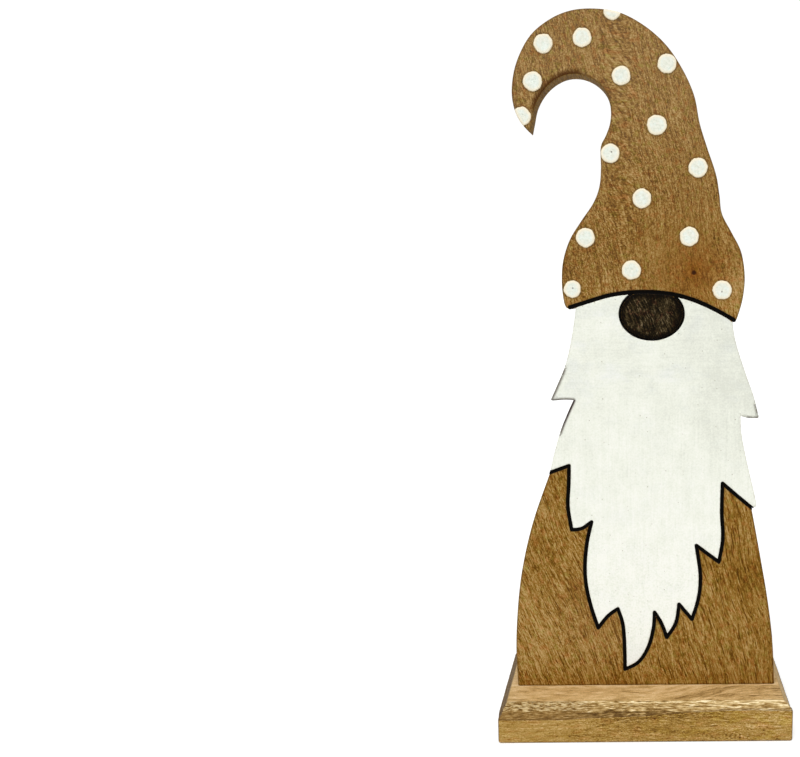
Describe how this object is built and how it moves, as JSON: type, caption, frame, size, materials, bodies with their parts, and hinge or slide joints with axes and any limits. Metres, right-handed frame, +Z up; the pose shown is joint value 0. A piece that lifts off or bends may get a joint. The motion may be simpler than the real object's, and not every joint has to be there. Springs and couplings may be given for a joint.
{
  "type": "tomte gnome figurine",
  "caption": "Free-standing Nordic gnome sawn from one board, with a hooked dotted hat, painted beard and dark nose, screwed upright on a chamfered wooden base.",
  "frame": {"origin": "middle of the base's underside, where the figurine stands", "axes": "+Z up, +X to the viewer's right of the painted front, and the painted front faces -Y"},
  "size_m": [0.189, 0.09, 0.4565],
  "materials": {
    "figure_wood": "oiled mid-brown mango wood with short dark pores, satin",
    "base_wood": "oiled honey-coloured mango wood with level grain and mill marks, satin",
    "screw_steel": "zinc-plated wood screw",
    "beard_paint": "brushed off-white chalk paint, matte",
    "outline_paint": "black paint in a cut groove, low satin",
    "nose_stain": "near-black brown stain rubbed thin over the grain",
    "dot_paint": "thick dabbed off-white paint, matte"
  },
  "bodies": {
    "root": {"figure_board": "figure_wood", "base_board": "base_wood", "base_screw_left": "screw_steel", "base_screw_right": "screw_steel", "beard_enamel": "beard_paint", "brim_line": "outline_paint", "beard_line": "outline_paint", "nose_outline": "outline_paint", "nose_stain": "nose_stain", "hat_dot_01": "dot_paint", "hat_dot_02": "dot_paint", "hat_dot_03": "dot_paint", "hat_dot_04": "dot_paint", "hat_dot_05": "dot_paint", "hat_dot_06": "dot_paint", "hat_dot_07": "dot_paint", "hat_dot_08": "dot_paint", "hat_dot_09": "dot_paint", "hat_dot_10": "dot_paint", "hat_dot_11": "dot_paint", "hat_dot_12": "dot_paint", "hat_dot_13": "dot_paint", "hat_dot_14": "dot_paint", "hat_dot_15": "dot_paint", "hat_dot_16": "dot_paint"}
  },
  "joints": []
}
